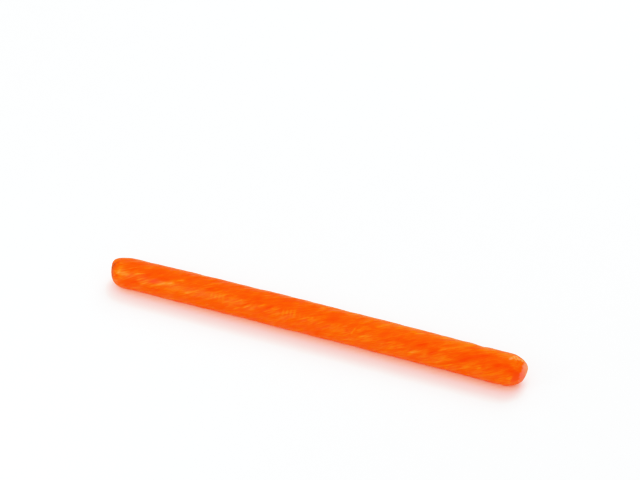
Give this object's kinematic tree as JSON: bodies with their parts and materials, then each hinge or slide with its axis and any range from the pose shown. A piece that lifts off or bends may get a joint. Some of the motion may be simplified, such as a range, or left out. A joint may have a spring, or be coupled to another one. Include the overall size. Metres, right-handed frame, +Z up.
{
  "type": "hard candy stick",
  "caption": "Straight round stick of clear orange boiled sugar with a twisted, finely ridged skin and two softly rounded cut ends, lying on its side.",
  "frame": {"origin": "bottom centre of the stick's box, on the surface that it lies on", "axes": "+X along the stick, towards the end that faces the camera in the picture; +Z up"},
  "size_m": [0.127, 0.01, 0.0094],
  "materials": {
    "orange_candy": "satin"
  },
  "bodies": {
    "root": {"candy_stick": "orange_candy"}
  },
  "joints": []
}
